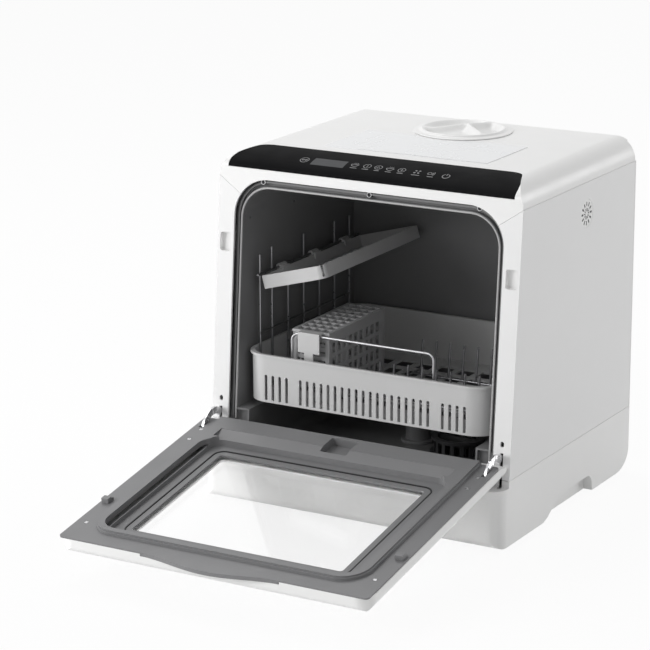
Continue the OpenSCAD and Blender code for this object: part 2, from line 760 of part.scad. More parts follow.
module door_shell() on_door() color(white) difference() {
    union() {
        difference() {
            door_body(0);
            door_body(2.5);
            upright(outer_d - past, outer_d + 10) window_outline(-10);
        }
        // walls that carry the outer glass and the hinge pins
        upright(outer_d + 2, outer_d + 4.5) difference() {
            window_outline(2);
            window_outline(-10);
        }
        both_sides() for (x = [post_x - 12, post_x + 5.5]) intersection() {
            door_body(0);
            sideways(x, x + 6.5) circle(12.4);
        }
    }
    upright(outer_d - past, outer_d + 2.2) window_outline(-4);
    both_sides() {
        block([post_x - 5.4, outer_d - 2, -20], [post_x + 5.4, 9.5, 9]);
        translate([post_x - 20, 0, 0]) rotate([0, 90, 0]) cylinder(h = 40, r = pin_r + 0.02);
        block([arm_x - 2.5, 8, 8], [arm_x + 2.5, rim_d + 8, 32]);
    }
    upright(rim_d - 5.2, rim_d + past) translate([-lip_half - 1, door_end - 9]) square([2 * lip_half + 2, 30]);
}

plug_half = 183.5;
plug_l0 = 3.5;
plug_l1 = 308;
well_d = rim_d - 8;          // floor of the well round the window
well_half = 164;

// Inner face of the door: rim, raised plug, stepped well round the window, and finger lip
module door_liner() on_door() color(liner_grey) difference() {
    union() {
        upright(rim_d - 2, rim_d) rounded([-door_w / 2 + 1, door_foot], [door_w / 2 - 1, door_end], 5);
        upright(rim_d - 2, rim_d + plug_h - 2) plug_outline(0);
        upright(rim_d, rim_d + plug_h) plug_outline(-2);
        upright(well_d - 2, rim_d) rounded([-well_half - 2, window_l0 - 14], [well_half + 2, window_l1 + 14], 18);
        finger_lip();
        upright(pocket_d - 1.5, rim_d - 1) rounded([pocket_x0 - 2, pocket_l0 - 2], [pocket_x1 + 2, pocket_l1 + 2], 4);
    }
    upright(well_d, rim_d + plug_h + past) rounded([-well_half, window_l0 - 12], [well_half, window_l1 + 12], 16);
    upright(well_d + 5, rim_d + plug_h + past) rounded([-well_half - 7, window_l0 - 6], [well_half + 7, window_l1 + 15], 22);
    upright(0, rim_d) window_outline(0);
    ramp_cut();
    detergent_pocket_cut();
    both_sides() {
        block([arm_x - 2.5, 8, 10], [arm_x + 2.5, rim_d + past, 30]);
        for (l = door_screw_ls) translate([post_x + 6, rim_d - 1.3, l]) rotate([-90, 0, 0]) cylinder(h = 5, r = 2.9);
    }
}

module plug_outline(grow) {
    translate([-plug_half - grow, plug_l0]) square([2 * (plug_half + grow), 60]);
    rounded([-plug_half - grow, plug_l0 + 10], [plug_half + grow, plug_l1 + grow], 34 + grow);
}

// Slope from the plug down to the well, on the hinge side of the window
module ramp_cut() sideways(-well_half, well_half)
    polygon([[rim_d + plug_h + past, window_l0 - 30], [rim_d + plug_h - 0.5, window_l0 - 30],
        [rim_d - 0.5, window_l0 - 10], [rim_d + plug_h + past, window_l0 - 10]]);

pocket_x0 = -18;
pocket_x1 = 19;
pocket_l0 = 9;
pocket_l1 = 41;
pocket_d = 10;
module detergent_pocket_cut() upright(pocket_d, rim_d + plug_h + past)
    rounded([pocket_x0, pocket_l0], [pocket_x1, pocket_l1], 2.5);

// Curved lip at the upper edge of the door, scooped for the fingers
lip_half = 92;
function lip_edge(reach, y0) = [for (i = [0:16]) let (t = -1 + i / 8)
    [lip_half * t, y0 + reach * pow(cos(90 * t), 1.8)]];
module finger_lip() upright(rim_d - 5, rim_d)
    polygon(concat([[-lip_half, door_end - 8]], lip_edge(handle_reach, door_end), [[lip_half, door_end - 8]]));

module outer_glass() on_door() color(glass) upright(outer_d, outer_d + 2) window_outline(-4.3);

// The inner pane hangs under its frame; the gasket closes the gap to the well
pane_d = well_d - 3.8;
module inner_glass() on_door() color(glass) upright(pane_d - 3, pane_d) window_outline(-0.2);

module window_frame() on_door() color(liner_grey) difference() {
    upright(pane_d, well_d - 0.5) window_outline(-1.7);
    upright(pane_d - past, well_d + past) window_outline(-10);
}

module window_gasket() on_door() color(black) upright(pane_d, well_d + 0.4) difference() {
    window_outline(-0.1);
    window_outline(-1.6);
}

module latch_hooks() on_door() color(liner_grey) both_sides() {
    block([latch_x - 5, rim_d, latch_l - 6], [latch_x + 5, rim_d + 4, latch_l + 6]);
    block([latch_x - 5, rim_d + 4, latch_l - 2], [latch_x + 5, rim_d + 6.5, latch_l + 6]);
}

// Curved steel arms, concentric with the hinge, that slide through the front frame
arm_r0 = 18.5;
arm_r1 = 27.5;
arm_head = 47;              // where the arm ends inside the cabinet
arm_foot = 186;             // where it ends inside the door
module hinge_arms() in_place() color(steel) both_sides() {
    translate([0, hinge_y, hinge_z]) sideways(arm_x - arm_t / 2, arm_x + arm_t / 2)
        polygon(concat(arc([0, 0], arm_r1, arm_r1, arm_head, arm_foot, 24),
            arc([0, 0], arm_r0, arm_r0, arm_foot, arm_head, 24)));
    translate([0, hinge_y, hinge_z]) rotate([door_swing - front_tilt, 0, 0])
        sideways(arm_x - arm_t / 2, arm_x + arm_t / 2)
            polygon([[0, 20], [rim_d - 2, 28], [rim_d - 2, 64], [8, 64], [0, 32]]);
}

module hinge_posts() in_place() color(steel) both_sides() difference() {
    sideways(post_x - post_t / 2, post_x + post_t / 2) {
        translate([hinge_y, hinge_z]) circle(7);
        translate([hinge_y - 7, shoulder_h]) square([14, hinge_z - shoulder_h]);
    }
    translate([post_x - 10, hinge_y, hinge_z]) rotate([0, 90, 0]) cylinder(h = 20, r = pin_r + running);
}

module hinge_pins() in_place() color(steel) both_sides()
    translate([post_x - 12, hinge_y, hinge_z]) rotate([0, 90, 0]) cylinder(h = 24, r = pin_r);

module hinge_washers() in_place() color([0.9, 0.9, 0.88]) both_sides()
    for (x = [post_x - post_t / 2 - 1.2, post_x + post_t / 2 + 0.4]) translate([x, hinge_y, hinge_z])
        rotate([0, 90, 0]) difference() {
            cylinder(h = 0.8, r = 6);
            translate([0, 0, -past]) cylinder(h = 4, r = pin_r);
        }

module latch_catches() on_front() color(white) both_sides() {
    intersection() {
        upright(casing_t, 12) difference() {
            latch_slot_outline(1.6);
            latch_slot_outline(0.1);
        }
        block([opening_w / 2 + 4.3, 0, 0], [half_w - casing_t - 0.1, 40, cabinet_h]);
    }
    upright(7, 9) latch_slot_outline(0.4);
}

module door_switch() on_front() color(black) both_sides()
    block([latch_x - 6, 12, hinge_v + latch_l - 8], [latch_x + 6, 22, hinge_v + latch_l + 8]);

door_screw_ls = [34, 62, 290];
module door_screws() on_door() color(steel) both_sides() for (l = door_screw_ls)
    translate([post_x + 6, rim_d - 1.3, l]) rotate([-90, 0, 0]) scale(0.6) screw_head(4);

// ---------------------------------------------------------------- baskets

module basket_plan(inset) {
    half = basket_w / 2 - inset;
    rear = basket_y + basket_l - inset;
    translate([-half, basket_y + basket_r]) square([2 * half, basket_l - basket_r - inset - 10]);
    translate([basket_r - half, basket_y + inset]) square([2 * (half - basket_r), basket_l - 2 * inset]);
    for (s = [-1, 1]) {
        translate([s * (half - basket_r), basket_y + basket_r + inset]) circle(basket_r);
        translate([s * (half - basket_r), rear - basket_r]) circle(basket_r);
    }
    translate([-half, rear - basket_r - 20]) square([2 * half, 20]);
}

slot_groups = [4, 19, 4];
slot_gap = 2;               // slots left out between two groups
slot_total = slot_groups[0] + slot_groups[1] + slot_groups[2] + 2 * (slot_gap - 1);
function in_group(i) = i < slot_groups[0]
    || (i >= slot_groups[0] + slot_gap - 1 && i < slot_groups[0] + slot_gap - 1 + slot_groups[1])
    || i >= slot_groups[0] + slot_groups[1] + 2 * (slot_gap - 1);

module basket_tray() in_place() color(basket_grey) difference() {
    union() {
        flat(basket_z, basket_z + basket_wall_h) basket_plan(0);
        flat(basket_z + basket_wall_h - 3, basket_z + basket_wall_h) basket_plan(-2);
    }
    flat(basket_z + 2.5, basket_z + basket_wall_h + past) basket_plan(2.2);
    for (i = [0:slot_total - 1]) if (in_group(i))
        translate([(i - (slot_total - 1) / 2) * slot_pitch, 0, 0]) upright(basket_y - 5, basket_y + 12) {
            translate([-2, basket_z + 3]) square([4, 31]);
            translate([0, basket_z + 34]) circle(2);
        }
    for (x = [-138:30:132], y = [92:34:290]) block([x, y, 0], [x + 22, y + 26, basket_z + 10]);
}

module basket_glides() in_place() color(basket_grey) both_sides() for (y = [70, 280])
    block([162, y, ledge_h + fit], [170, y + 26, basket_z]);

module wire(from, to) {
    v = to - from;
    translate(from) rotate([0, acos(v.z / norm(v)), atan2(v.y, v.x)]) cylinder(h = norm(v), r = wire_r, $fn = 24);
}

tine_x = -22;
tine_pitch = 20;
module plate_rack() in_place() color(steel) {
    floor_z = basket_z + 2.5 + wire_r;
    last_x = tine_x + (tine_count - 1) * tine_pitch;
    for (y = [120, 160, 235]) {
        wire([tine_x - 12, y, floor_z], [last_x + 8, y, floor_z]);
    }
    for (i = [0:tine_count - 1], y = [120, 235])
        wire([tine_x + i * tine_pitch, y, floor_z], [tine_x + i * tine_pitch, y + 6, floor_z + 46]);
    for (x = [tine_x - 12, last_x + 8]) wire([x, 100, floor_z], [x, 260, floor_z]);
}

rail_y = 60;
rail_x0 = -112;
rail_x1 = 88;
rail_top = basket_z + 90;
module front_rail() in_place() color(steel) bent_wire(rail_x0, rail_x1, rail_y, basket_z + 2.5, rail_top, 9);

// Wire that rises, bends, runs level along x, bends and comes down
module bent_wire(x0, x1, y, foot, top, r) {
    for (x = [x0, x1]) translate([x, y, foot]) cylinder(h = top - r - foot, r = wire_r + 0.2);
    translate([x0 + r, y, top]) rotate([0, 90, 0]) cylinder(h = x1 - x0 - 2 * r, r = wire_r + 0.2);
    for (m = [0, 1]) translate([m == 0 ? x0 + r : x1 - r, y, top - r]) mirror([m, 0, 0]) rotate([90, 0, 0])
        rotate([0, 0, 90]) rotate_extrude(angle = 90) translate([r, 0]) circle(wire_r + 0.2);
}

module shelf_posts() in_place() color(steel) {
    for (y = [105:40:305]) wire([post_line_x, y, basket_z + 2.5],
        [post_line_x, y, (y - 105) % 80 == 0 || y > 300 ? 316 : pivot_z]);
    wire([post_line_x, 76, basket_z + 2.5], [post_line_x, 76, 312]);
    wire([pivot_x, 66, pivot_z], [pivot_x, 324, pivot_z]);
    wire([post_line_x, 74, 210], [post_line_x, 307, 210]);
}

// Tilted tray with a lattice floor, hooked over the pivot wire
module cup_shelf() in_place() color(basket_grey)
    translate([pivot_x, shelf_y, pivot_z]) rotate([0, -shelf_slope, 0]) translate([3, 0, -shelf_rim_h - 2])
        difference() {
            union() {
                difference() {
                    cube([shelf_w, shelf_l, shelf_rim_h]);
                    translate([2, 2, 2.5]) cube([shelf_w - 4, shelf_l - 4, shelf_rim_h]);
                    for (x = [8:14:shelf_w - 16], y = [8:24:shelf_l - 24])
                        translate([x, y, -past]) cube([10, 18, 8]);
                }
                for (y = [47:80:207]) translate([-3, y, shelf_rim_h + 2]) rotate([-90, 0, 0])
                    shelf_hook();
            }
            translate([shelf_w - 10, 0, 0]) difference() {
                translate([0, -past, -past]) cube([12, 10, 40]);
                translate([0, 10, -past]) cylinder(h = 60, r = 10);
            }
        }

module shelf_hook() difference() {
    union() {
        cylinder(h = 16, r = 4);
        cube([7, 4, 16]);
        translate([3, 0, 0]) cube([4, 8, 16]);
    }
    translate([0, 0, -past]) cylinder(h = 20, r = wire_r + running);
}

// Slotted basket of upright panels that clip round a floor
cutlery_t = 2;
cutlery_rows = [48, 96];                    // cross walls between the compartments
module cutlery_basket() in_place() color([0.62, 0.62, 0.63]) translate([cutlery_x, cutlery_y, cutlery_z]) {
    foot = cutlery_t + running;
    difference() {
        cube([cutlery_w, cutlery_l, cutlery_t]);
        for (x = [7:14:40], y = [8:14:cutlery_l - 14]) translate([x, y, -past]) cube([9, 9, 5]);
    }
    for (x = [0, cutlery_w - cutlery_t]) difference() {
        translate([x, 0, foot]) cube([cutlery_t, cutlery_l, cutlery_h - foot]);
        for (y = [8:14:cutlery_l - 14], z = [10:18:64]) translate([x - past, y, z]) cube([cutlery_t + 2, 9, 13]);
    }
    for (y = concat([0], cutlery_rows, [cutlery_l - cutlery_t])) difference() {
        translate([foot, y, foot]) cube([cutlery_w - 2 * foot, cutlery_t, cutlery_h - foot]);
        for (z = [12:12:72]) translate([6, y - past, z]) cube([cutlery_w - 12, cutlery_t + 2, 6.5]);
    }
}

lid_t = 3.5;
module cutlery_lid() in_place() color([0.66, 0.66, 0.67])
    translate([cutlery_x - 1, cutlery_y - 1, cutlery_z + cutlery_h]) difference() {
        cube([cutlery_w + 2, cutlery_l + 2, lid_t]);
        for (i = [0:3], j = [0:8]) translate([4 + i * 12, 5 + j * 15.3, -past]) cube([9, 11.5, 8]);
    }

module basket_clip() in_place() color(basket_grey) {
    block([-101, 54.5, 199], [-70, 57, cutlery_z + cutlery_h + 1]);
    block([-92, 54.5, 189], [-79, 57, 199]);
    block([-101, 54.5, cutlery_z + cutlery_h + 1], [-70, cutlery_y - 1, cutlery_z + cutlery_h + lid_t]);
}

base_pan();
feet();
left_side_panel();
right_side_panel();
rear_panel();
top_cover();
control_panel();
display_window();
control_board();
top_inlay();
tub();
door_seal();
flange_screws();
case_screws();
side_vent_grille();
fan_housing();
fan_rotor();
water_tank();
tank_collar();
cap_seal();
tank_cap();
sump();
filter_cage();
wash_pump();
drain_pump();
heater();
wash_pipe();
spray_hub();
spray_arm();
hinge_posts();
hinge_pins();
hinge_washers();
hinge_arms();
latch_catches();
latch_hooks();
door_switch();
inlet_valve();
drain_spigot();
cord_gland();
door_shell();
door_liner();
outer_glass();
inner_glass();
window_frame();
window_gasket();
door_screws();
basket_tray();
basket_glides();
plate_rack();
front_rail();
shelf_posts();
cup_shelf();
cutlery_basket();
cutlery_lid();
basket_clip();
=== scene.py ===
"""Looks of the countertop dishwasher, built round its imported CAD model. Metres, +Z up."""

import json
import math

import bmesh
import bpy
import numpy as np
from mathutils import Matrix, Vector


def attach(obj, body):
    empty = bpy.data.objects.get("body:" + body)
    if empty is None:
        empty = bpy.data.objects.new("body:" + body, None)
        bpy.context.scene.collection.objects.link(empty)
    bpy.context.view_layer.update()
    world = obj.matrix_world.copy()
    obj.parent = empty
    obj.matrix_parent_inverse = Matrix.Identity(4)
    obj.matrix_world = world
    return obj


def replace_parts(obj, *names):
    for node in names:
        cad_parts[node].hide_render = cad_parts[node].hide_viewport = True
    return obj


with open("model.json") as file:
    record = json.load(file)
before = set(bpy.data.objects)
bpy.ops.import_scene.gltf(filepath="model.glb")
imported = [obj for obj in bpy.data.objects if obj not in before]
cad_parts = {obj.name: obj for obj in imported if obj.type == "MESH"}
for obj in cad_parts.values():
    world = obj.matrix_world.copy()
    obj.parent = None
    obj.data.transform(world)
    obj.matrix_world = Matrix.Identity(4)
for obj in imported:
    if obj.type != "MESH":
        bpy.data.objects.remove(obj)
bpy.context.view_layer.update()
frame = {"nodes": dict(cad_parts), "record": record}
nodes = frame["nodes"]
node_body = {n: b for b, members in frame["record"]["behaviour"]["bodies"].items() for n in members}
slot_of = {s["node"]: s["material_slot"] for s in frame["record"]["subparts"]}
LOOKS = {"plate_rack": "wire_steel", "shelf_posts": "wire_steel", "front_rail": "rail_steel",
         "flange_screws": "black_plastic"}
look_of = {name: LOOKS.get(name, slot) for name, slot in slot_of.items()}

MM = 0.001
MIDDLE_Y = 29.735       # drawings have y = 0 at the front of the base
FRONT_TILT = math.radians(4.6)
FRONT_FOOT = 17         # where the slanted front would meet the counter
NOSE_H = 428            # lower edge of the black panel
NOSE_END = 113          # where the nose meets the top
TOP_H = 446.5
CAP_Y = 306


def at(x, y, z):
    """A drawing's millimetres as a place in the frame."""
    return Vector((x * MM, (y - MIDDLE_Y) * MM, z * MM))


def on_front(x, depth, v):
    """A place on the slanted front: depth behind it, v up along it."""
    c, s = math.cos(FRONT_TILT), math.sin(FRONT_TILT)
    return at(x, FRONT_FOOT + depth * c + v * s, -depth * s + v * c)


def front_y(z):
    return FRONT_FOOT + z * math.tan(FRONT_TILT)


def on_nose(x, y, lift=0.0):
    """A place on the curved nose, lift above its surface."""
    a, b = NOSE_END - front_y(NOSE_H), TOP_H - NOSE_H
    c = (y - NOSE_END) / a
    s = math.sqrt(max(0.0, 1 - c * c))
    normal = Vector((0, c / a, s / b)).normalized()
    return at(x, y, NOSE_H + b * s) + normal * (lift * MM)


# ------------------------------------------------------------------ materials


NOISE_LOW, NOISE_HIGH = 0.35, 0.65      # where most of a noise texture's values lie
BROAD = {"plastic": 6, "metal": 9, "glass": 12}         # noise sizes of the broadest change
FINE, POLISH = 30, 160          # noise sizes of a plastic's gloss and a metal's polish


class Shader:
    """A node material that starts from one Principled shader."""

    def __init__(self, name, color, rough, **values):
        self.mat = bpy.data.materials.new(name)
        self.mat.use_nodes = True
        self.tree = self.mat.node_tree
        self.bsdf = self.tree.nodes["Principled BSDF"]
        self.color, self.rough = color, rough
        self.bsdf.inputs["Base Color"].default_value = (*color, 1)
        self.bsdf.inputs["Roughness"].default_value = rough
        for key, value in values.items():
            self.bsdf.inputs[key.replace("_", " ")].default_value = value
        self.coords = self.add("ShaderNodeTexCoord").outputs["Object"]

    def add(self, kind, **values):
        node = self.tree.nodes.new(kind)
        for key, value in values.items():
            if hasattr(node, key):
                setattr(node, key, value)
            else:
                node.inputs[key.replace("_", " ")].default_value = value
        return node

    def link(self, a, b):
        self.tree.links.new(a, b)

    def noise(self, scale, detail=3.0):
        tex = self.add("ShaderNodeTexNoise", Scale=scale, Detail=detail)
        self.link(self.coords, tex.inputs["Vector"])
        return tex.outputs["Fac"]

    def ramp(self, fac, low, high):
        """Spreads the middle of a noise over low to high."""
        ramp = self.add("ShaderNodeMapRange")
        ramp.inputs["From Min"].default_value = NOISE_LOW
        ramp.inputs["From Max"].default_value = NOISE_HIGH
        ramp.inputs["To Min"].default_value = low
        ramp.inputs["To Max"].default_value = high
        self.link(fac, ramp.inputs["Value"])
        return ramp.outputs["Result"]

    def tint(self, fac, amount):
        """Lightens and darkens the base colour by amount along fac."""
        mix = self.add("ShaderNodeMix", data_type="RGBA")
        factor, dark, light = mix.inputs[0], mix.inputs[6], mix.inputs[7]
        dark.default_value = (*[c * (1 - amount) for c in self.color], 1)
        light.default_value = (*[min(1, c * (1 + amount)) for c in self.color], 1)
        self.link(self.ramp(fac, 0, 1), factor)
        self.link(mix.outputs[2], self.bsdf.inputs["Base Color"])
        return self

    def vary_rough(self, fac, amount):
        self.link(self.ramp(fac, self.rough - amount, self.rough + amount), self.bsdf.inputs["Roughness"])
        return self

    def bump(self, fac, distance):
        bump = self.add("ShaderNodeBump", Distance=distance, Strength=1.0)
        self.link(fac, bump.inputs["Height"])
        self.link(bump.outputs["Normal"], self.bsdf.inputs["Normal"])
        return self


def plastic(name, color, rough=0.35, grain=1400, depth=0.00001, tint=0.015, **values):
    """Moulded plastic: a fine grain, and a broad slight change of tone and gloss."""
    s = Shader(name, color, rough, **values)
    s.tint(s.noise(BROAD["plastic"]), tint).vary_rough(s.noise(FINE), 0.04)
    return s.bump(s.noise(grain, 2), depth).mat


def metal(name, color, rough, depth=0.000004):
    """Plain steel with a faint uneven polish."""
    s = Shader(name, color, rough, Metallic=1.0)
    polish = s.noise(POLISH, 4)
    return s.tint(s.noise(BROAD["metal"]), 0.03).vary_rough(polish, 0.08).bump(polish, depth).mat


MATERIALS = {
    "white_shell": plastic("white_shell", (0.86, 0.86, 0.855), 0.34, 900, 0.000004, 0.006),
    "side_metal": plastic("side_metal", (0.84, 0.84, 0.84), 0.42, 420, 0.000012, 0.006),
    "black_panel": plastic("black_panel", (0.0085, 0.0085, 0.009), 0.6, 600, 0.000001, 0.1,
                           Specular_IOR_Level=0.02),
    "panel_print": plastic("panel_print", (0.34, 0.34, 0.345), 0.5, 600, 0.000001, 0.05,
                           Specular_IOR_Level=0.05),
    "display": plastic("display", (0.075, 0.077, 0.08), 0.45, 600, 0.000001, 0.05, Specular_IOR_Level=0.05),
    "circuit_board": plastic("circuit_board", (0.03, 0.16, 0.07), 0.4),
    "inlay_film": plastic("inlay_film", (0.84, 0.85, 0.86), 0.25, 500, 0.000001, 0.004),
    "film_edge": plastic("film_edge", (0.36, 0.36, 0.36), 0.4, 500, 0.000001, 0.004),
    "tub_grey": plastic("tub_grey", (0.2, 0.2, 0.203), 0.36, 900, 0.000006, 0.02, Specular_IOR_Level=0.3),
    "rim_grey": plastic("rim_grey", (0.42, 0.42, 0.42), 0.35, 900, 0.000006, 0.02),
    "seal_rubber": plastic("seal_rubber", (0.17, 0.17, 0.172), 0.55, 700, 0.00001),
    "black_rubber": plastic("black_rubber", (0.012, 0.012, 0.013), 0.6, 700, 0.00002),
    "steel": metal("steel", (0.62, 0.62, 0.63), 0.3),
    "wire_steel": metal("wire_steel", (0.3, 0.3, 0.31), 0.35),
    "rail_steel": metal("rail_steel", (0.42, 0.42, 0.43), 0.42),
    "black_plastic": plastic("black_plastic", (0.03, 0.03, 0.033), 0.45),
    "tank_clear": plastic("tank_clear", (0.72, 0.76, 0.79), 0.3),
    "filter_grey": plastic("filter_grey", (0.045, 0.045, 0.047), 0.4),
    "arm_grey": plastic("arm_grey", (0.2, 0.2, 0.205), 0.4),
    "liner_grey": plastic("liner_grey", (0.215, 0.215, 0.22), 0.45, 800, 0.00001, 0.02,
                          Specular_IOR_Level=0.3),
    "basket_grey": plastic("basket_grey", (0.56, 0.56, 0.56), 0.38, 800, 0.000008, 0.02),
    "cutlery_grey": plastic("cutlery_grey", (0.42, 0.42, 0.425), 0.38, 800, 0.000008, 0.02),
    "washer_nylon": plastic("washer_nylon", (0.75, 0.75, 0.73), 0.4),
}


def glass(name, rough, index):
    s = Shader(name, (1.0, 1.0, 1.0), rough, Transmission_Weight=1.0, IOR=index)
    return s.vary_rough(s.noise(BROAD["glass"]), 0.01).mat


MATERIALS["door_glass"] = glass("door_glass", 0.03, 1.15)

# ------------------------------------------------------------------ mesh helpers


def new_object(name, mesh, material, body):
    obj = bpy.data.objects.new(name, mesh)
    bpy.context.scene.collection.objects.link(obj)
    obj.data.materials.clear()
    obj.data.materials.append(MATERIALS[material])
    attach(obj, body)
    return obj


def shade(mesh, angle):
    """Smooth shading that stops at edges sharper than angle."""
    mesh.polygons.foreach_set("use_smooth", [True] * len(mesh.polygons))
    mesh.set_sharp_from_angle(angle=math.radians(angle))


def merged(mesh, dissolve):
    """A copy of a mesh with its doubled points joined and, with dissolve, its flat triangles too."""
    bm = bmesh.new()
    bm.from_mesh(mesh)
    bmesh.ops.remove_doubles(bm, verts=bm.verts, dist=2e-6)
    if dissolve:
        bmesh.ops.dissolve_limit(bm, angle_limit=math.radians(FLAT_ANGLE), verts=bm.verts, edges=bm.edges,
                                 delimit={"NORMAL"})
    copy = bpy.data.meshes.new("merged")
    bm.to_mesh(copy)
    bm.free()
    return copy


def triangulate(mesh):
    bm = bmesh.new()
    bm.from_mesh(mesh)
    bmesh.ops.triangulate(bm, faces=[f for f in bm.faces if len(f.verts) > 4], ngon_method="BEAUTY")
    bm.to_mesh(mesh)
    bm.free()


def area_and_volume(mesh):
    bm = bmesh.new()
    bm.from_mesh(mesh)
    found = sum(f.calc_area() for f in bm.faces), bm.calc_volume()
    bm.free()
    return found


FLAT_ANGLE, EDGE_ANGLE, SMOOTH_ANGLE = 0.6, 30, 35      # degrees
AREA_KEPT = (0.92, 1.005)       # a softened edge takes area away; a face torn round a hole adds it
VOLUME_KEPT = 0.05


def dress(node, bevel):
    """A copy of a CAD node with its edges softened as a mould leaves them, in the node's place."""
    area, volume = area_and_volume(nodes[node].data)
    obj = new_object(node + "_surface", nodes[node].data.copy(), look_of[node], node_body[node])
    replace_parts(obj, node)
    for dissolve, width in ((True, bevel), (False, bevel), (False, 0)):
        mesh = merged(nodes[node].data, dissolve)
        mesh.materials.append(MATERIALS[look_of[node]])
        obj.data = mesh
        if width:
            mod = obj.modifiers.new("edges", "BEVEL")
            mod.width = width * MM
            mod.segments = 2
            mod.limit_method = "ANGLE"
            mod.angle_limit = math.radians(EDGE_ANGLE)
            mod.use_clamp_overlap = True
            mod.miter_outer = "MITER_ARC"
            bake_modifiers(obj)
        triangulate(obj.data)
        new_area, new_volume = area_and_volume(obj.data)
        if AREA_KEPT[0] < new_area / area < AREA_KEPT[1] and abs(new_volume / volume - 1) < VOLUME_KEPT:
            break
    shade(obj.data, SMOOTH_ANGLE)
    # broad faces keep their own normals, so that a softened edge doesn't tint them
    obj.modifiers.new("normals", "WEIGHTED_NORMAL").keep_sharp = True
    bake_modifiers(obj)


def bake_modifiers(obj):
    """Leaves the modifiers' result as the piece's plain mesh."""
    depsgraph = bpy.context.evaluated_depsgraph_get()
    depsgraph.update()
    result = bpy.data.meshes.new_from_object(obj.evaluated_get(depsgraph))
    obj.modifiers.clear()
    obj.data = result


# ------------------------------------------------------------------ CAD nodes

DRESSED = {     # node: width of the softened edge in millimetres
    "base_pan": 1.0, "top_cover": 0.6, "left_side_panel": 0.5, "right_side_panel": 0.5, "rear_panel": 0.6,
    "control_panel": 0.3, "tub": 0.8, "door_shell": 0.6, "door_liner": 0.8, "basket_tray": 0.7,
    "cup_shelf": 0.6, "cutlery_basket": 0.5, "cutlery_lid": 0.5, "basket_clip": 0.5, "latch_hooks": 0.5,
    "filter_cage": 0.4, "spray_hub": 0.8, "spray_arm": 0.8, "hinge_arms": 0.3, "side_vent_grille": 0.3,
    "window_frame": 0.5, "tank_collar": 0.4,
}
for name, obj in nodes.items():
    obj.data.materials.clear()
    obj.data.materials.append(MATERIALS[look_of[name]])
for name, width in DRESSED.items():
    dress(name, width)


def mesh_piece(name, verts, faces, material, body, smooth):
    """A new piece from points and faces, on a body of the record."""
    mesh = bpy.data.meshes.new(name)
    mesh.from_pydata([tuple(v) for v in verts], [], faces)
    mesh.validate()
    bm = bmesh.new()
    bm.from_mesh(mesh)
    bmesh.ops.remove_doubles(bm, verts=bm.verts, dist=1e-6)
    bmesh.ops.recalc_face_normals(bm, faces=bm.faces)
    bm.to_mesh(mesh)
    bm.free()
    obj = new_object(name, mesh, material, body)
    shade(obj.data, smooth)
    return obj


class Mesh:
    """Vertices and faces gathered for one piece."""

    def __init__(self):
        self.verts, self.faces = [], []

    def grid(self, rows, close_rows=False, close_cols=False):
        """Faces between rows of points, closed round either way."""
        base = len(self.verts)
        n, m = len(rows), len(rows[0])
        for row in rows:
            self.verts += row
        for i in range(n if close_rows else n - 1):
            for j in range(m if close_cols else m - 1):
                a, b = base + i * m, base + (i + 1) % n * m
                k = (j + 1) % m
                self.faces.append((a + j, a + k, b + k, b + j))

    def fan(self, points):
        """One flat face through points."""
        base = len(self.verts)
        self.verts += points
        self.faces.append(tuple(range(base, base + len(points))))

    def tube(self, path, radius, sides, closed=False):
        """A round rod along path."""
        rows = []
        count = len(path)
        up = None
        for i, p in enumerate(path):
            before = path[i - 1] if i or closed else p
            after = path[(i + 1) % count] if i < count - 1 or closed else p
            t = (after - before).normalized()
            if up is None:
                up = t.orthogonal().normalized()
            up = (up - t * up.dot(t)).normalized()
            side = t.cross(up)
            rows.append([p + (up * math.cos(a) + side * math.sin(a)) * radius
                         for a in (2 * math.pi * k / sides for k in range(sides))])
        self.grid(rows, close_rows=closed, close_cols=True)
        if not closed:
            self.fan(rows[0][::-1])
            self.fan(rows[-1])

    def piece(self, name, material, body, smooth=SMOOTH_ANGLE):
        return mesh_piece(name, self.verts, self.faces, material, body, smooth)


def arc_points(cx, cy, r, a0, a1, steps=14):
    return [(cx + r * math.cos(math.radians(a0 + (a1 - a0) * i / steps)),
             cy + r * math.sin(math.radians(a0 + (a1 - a0) * i / steps))) for i in range(steps + 1)]


def arch_path(half, foot, top, r):
    """An arch from its left foot over the top to its right foot."""
    return ([(-half, foot)] + arc_points(r - half, top - r, r, 180, 90)
            + arc_points(half - r, top - r, r, 90, 0) + [(half, foot)])


def circle(r, sides):
    """Points of a circle about the origin."""
    return [(r * math.cos(a), r * math.sin(a)) for a in (2 * math.pi * k / sides for k in range(sides))]


# ------------------------------------------------------------------ control panel

MARK_Y = 72.8       # depth of the row of marks on the panel
KEY_X = (-28.6, -11.5, 4.0, 20.1, 36.1)
DRY_X, AIR_X = 57.2, 74.5
START, POWER = (-98.8, 70.8), (97.4, 70.4)
CAPTION_Y = 65.2
CAPTIONS = ((-27.5, 9), (-11, 9), (4.7, 7), (20.7, 8), (37, 8), (58, 11), (78, 8))      # middle and length


def stroke(mesh, points, width, lift=0.25):
    """A printed line through (x, y) points of the panel."""
    rows = []
    for i, (x, y) in enumerate(points):
        ax, ay = points[max(0, i - 1)]
        bx, by = points[min(len(points) - 1, i + 1)]
        length = math.hypot(bx - ax, by - ay) or 1
        nx, ny = -(by - ay) / length * width / 2, (bx - ax) / length * width / 2
        rows.append([on_nose(x - nx, y - ny, lift), on_nose(x + nx, y + ny, lift)])
    mesh.grid(rows)


def ring(mesh, x, y, r, width=0.8, a0=0, a1=360):
    stroke(mesh, arc_points(x, y, r, a0, a1, 28), width)


